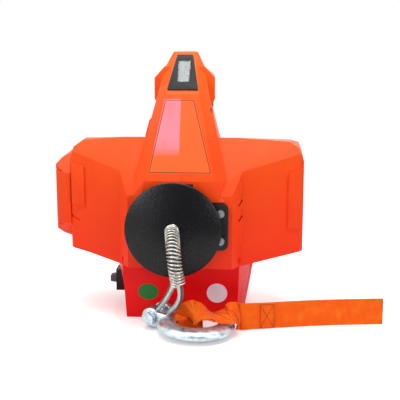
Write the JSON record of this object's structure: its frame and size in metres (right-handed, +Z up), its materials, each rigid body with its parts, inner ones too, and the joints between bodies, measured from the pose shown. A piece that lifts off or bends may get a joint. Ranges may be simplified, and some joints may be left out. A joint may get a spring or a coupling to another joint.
{
  "type": "portable swivel crane winch",
  "caption": "Portable battery winch with a pistol-grip handle, wire rope and lifting hook on its pull strap, and a swivelling anchor hook at the back; motor, gearbox and drum inside.",
  "frame": {"origin": "centre of the width on the flat underside of the base, straight below the drum's axis", "axes": "+Z up, +Y from the rope side to the back hook, +X to the viewer's right when the rope side is seen; the drum and motor axis runs along X at z 0.115"},
  "size_m": [0.3137, 0.3035, 0.25],
  "materials": {
    "casing_orange": "satin moulded orange plastic with a fine texture",
    "base_red": "satin moulded orange-red plastic",
    "black_plastic": "matt black plastic",
    "grey_plastic": "matt dark grey plastic",
    "display_window": "clear acrylic window",
    "display_glass": "grey liquid crystal display, blank",
    "dark_screws": "blackened steel",
    "zinc_steel": "bright zinc plate",
    "fairlead_steel": "turned steel",
    "crackle_black": "black crackle powder coat",
    "machined_steel": "machined steel",
    "gear_steel": "hobbed and greased steel",
    "bronze": "sintered bronze",
    "wire_rope": "galvanised stranded wire rope",
    "cast_aluminium": "die cast aluminium",
    "motor_zinc": "passivated steel can",
    "ferrite": "sintered ferrite",
    "copper_winding": "varnished copper winding on steel stampings",
    "friction_lining": "moulded friction lining",
    "grip_rubber": "fine diamond soft rubber",
    "cell_wrap": "plain shrink film",
    "circuit_board": "green solder resist",
    "plated_steel": "bright zinc plated forging",
    "thimble_zinc": "pale zinc",
    "spring_nickel": "bright spring wire",
    "orange_webbing": "woven polyester webbing"
  },
  "bodies": {
    "winch": {"casing_left": "casing_orange", "casing_right": "casing_orange", "base_shell": "base_red", "motor_end_cap": "casing_orange", "casing_screws": "dark_screws", "display_bezel": "black_plastic", "display_lens": "display_window", "display_module": "display_glass", "fairlead_plate": "black_plastic", "fairlead_ring": "fairlead_steel", "fairlead_screws": "dark_screws", "stop_disc": "crackle_black", "motor_side_plate": "zinc_steel", "gear_side_plate": "zinc_steel", "tie_bars": "zinc_steel", "drum_bushes": "bronze", "ring_gear": "gear_steel", "gearbox_flange": "machined_steel", "gearbox_cover": "cast_aluminium", "motor_can": "motor_zinc", "motor_magnets": "ferrite", "motor_bearings": "machined_steel", "brush_ring": "black_plastic", "brake_pads": "friction_lining", "brake_case": "cast_aluminium", "trigger_switch": "black_plastic", "grip_pad": "grip_rubber", "battery_cells": "cell_wrap", "control_board": "circuit_board", "switch_bezel": "black_plastic", "charge_socket": "black_plastic", "swivel_block": "cast_aluminium", "rope_lead": "wire_rope", "spring_guard": "spring_nickel", "thimble_end": "thimble_zinc"},
    "drum_body": {"drum": "machined_steel", "wound_rope": "wire_rope", "output_carrier": "machined_steel"},
    "stage_two_planet_a_body": {"stage_two_planet_a": "gear_steel"},
    "stage_two_planet_b_body": {"stage_two_planet_b": "gear_steel"},
    "stage_two_planet_c_body": {"stage_two_planet_c": "gear_steel"},
    "first_carrier_body": {"first_carrier": "gear_steel"},
    "stage_one_planet_a_body": {"stage_one_planet_a": "gear_steel"},
    "stage_one_planet_b_body": {"stage_one_planet_b": "gear_steel"},
    "stage_one_planet_c_body": {"stage_one_planet_c": "gear_steel"},
    "armature": {"drive_shaft": "gear_steel", "armature_core": "copper_winding", "cooling_fan": "black_plastic", "brake_rotor": "machined_steel"},
    "trigger_body": {"trigger": "black_plastic"},
    "direction_body": {"direction_bar": "black_plastic"},
    "rocker_body": {"power_rocker": "grey_plastic"},
    "lever_body": {"limit_lever": "zinc_steel"},
    "rear_swivel": {"swivel_shank": "plated_steel", "rear_hook_pin": "plated_steel"},
    "rear_hook_body": {"rear_hook": "plated_steel"},
    "rear_latch_body": {"rear_latch": "zinc_steel"},
    "front_hook_body": {"front_hook": "plated_steel", "clevis_bolt": "plated_steel", "pull_strap": "orange_webbing"}
  },
  "joints": [
    {"name": "drum_spin", "type": "hinge", "parent": "winch", "child": "drum_body", "pos_m": [0, 0, 0.115], "axis": [1, 0, 0], "continuous": true},
    {"name": "stage_two_planet_a_spin", "type": "hinge", "parent": "drum_body", "child": "stage_two_planet_a_body", "pos_m": [0.0405, 0, 0.13375], "axis": [1, 0, 0], "continuous": true},
    {"name": "stage_two_planet_b_spin", "type": "hinge", "parent": "drum_body", "child": "stage_two_planet_b_body", "pos_m": [0.0405, -0.01624, 0.10562], "axis": [1, 0, 0], "continuous": true},
    {"name": "stage_two_planet_c_spin", "type": "hinge", "parent": "drum_body", "child": "stage_two_planet_c_body", "pos_m": [0.0405, 0.01624, 0.10562], "axis": [1, 0, 0], "continuous": true},
    {"name": "first_carrier_spin", "type": "hinge", "parent": "winch", "child": "first_carrier_body", "pos_m": [0.05, 0, 0.115], "axis": [1, 0, 0], "continuous": true},
    {"name": "stage_one_planet_a_spin", "type": "hinge", "parent": "first_carrier_body", "child": "stage_one_planet_a_body", "pos_m": [0.0545, 0, 0.13375], "axis": [1, 0, 0], "continuous": true},
    {"name": "stage_one_planet_b_spin", "type": "hinge", "parent": "first_carrier_body", "child": "stage_one_planet_b_body", "pos_m": [0.0545, -0.01624, 0.10562], "axis": [1, 0, 0], "continuous": true},
    {"name": "stage_one_planet_c_spin", "type": "hinge", "parent": "first_carrier_body", "child": "stage_one_planet_c_body", "pos_m": [0.0545, 0.01624, 0.10562], "axis": [1, 0, 0], "continuous": true},
    {"name": "motor_spin", "type": "hinge", "parent": "winch", "child": "armature", "pos_m": [-0.06, 0, 0.115], "axis": [1, 0, 0], "continuous": true},
    {"name": "trigger_pull", "type": "hinge", "parent": "winch", "child": "trigger_body", "pos_m": [0, 0.095, 0.179], "axis": [1, 0, 0], "range_deg": [0, 10], "stiffness_Nm_per_rad": 0.6, "springref_deg": -5.73},
    {"name": "direction_select", "type": "slide", "parent": "winch", "child": "direction_body", "axis": [1, 0, 0], "range_m": [-0.003, 0.003]},
    {"name": "power_rock", "type": "hinge", "parent": "winch", "child": "rocker_body", "pos_m": [-0.0685, 0.021, 0.0205], "axis": [0, 1, 0], "range_deg": [-12, 12]},
    {"name": "limit_press", "type": "hinge", "parent": "winch", "child": "lever_body", "pos_m": [0.0055, -0.06025, 0.109], "axis": [-1, 0, 0], "range_deg": [0, 5], "stiffness_Nm_per_rad": 0.2, "springref_deg": -5.73},
    {"name": "rear_swivel_turn", "type": "hinge", "parent": "winch", "child": "rear_swivel", "pos_m": [0, 0.1, 0.092], "axis": [0, 1, 0], "continuous": true},
    {"name": "rear_hook_swing", "type": "hinge", "parent": "rear_swivel", "child": "rear_hook_body", "pos_m": [0, 0.16, 0.092], "axis": [1, 0, 0], "range_deg": [-5, 95]},
    {"name": "rear_latch_open", "type": "hinge", "parent": "rear_hook_body", "child": "rear_latch_body", "pos_m": [0, 0.165, 0.081], "axis": [-1, 0, 0], "range_deg": [0, 35], "stiffness_Nm_per_rad": 0.05, "springref_deg": -11.46},
    {"name": "front_hook_lift", "type": "hinge", "parent": "winch", "child": "front_hook_body", "pos_m": [-0.0205, -0.0626, 0.0105], "axis": [-0.454, -0.891, 0], "range_deg": [0, 18], "deforming": ["pull_strap"]}
  ],
  "couplings": [
    {"joint": "drum_spin", "follows": "motor_spin", "ratio": 0.0625},
    {"joint": "stage_two_planet_a_spin", "follows": "motor_spin", "ratio": -0.1875},
    {"joint": "stage_two_planet_b_spin", "follows": "motor_spin", "ratio": -0.1875},
    {"joint": "stage_two_planet_c_spin", "follows": "motor_spin", "ratio": -0.1875},
    {"joint": "first_carrier_spin", "follows": "motor_spin", "ratio": 0.25},
    {"joint": "stage_one_planet_a_spin", "follows": "motor_spin", "ratio": -0.75},
    {"joint": "stage_one_planet_b_spin", "follows": "motor_spin", "ratio": -0.75},
    {"joint": "stage_one_planet_c_spin", "follows": "motor_spin", "ratio": -0.75}
  ]
}
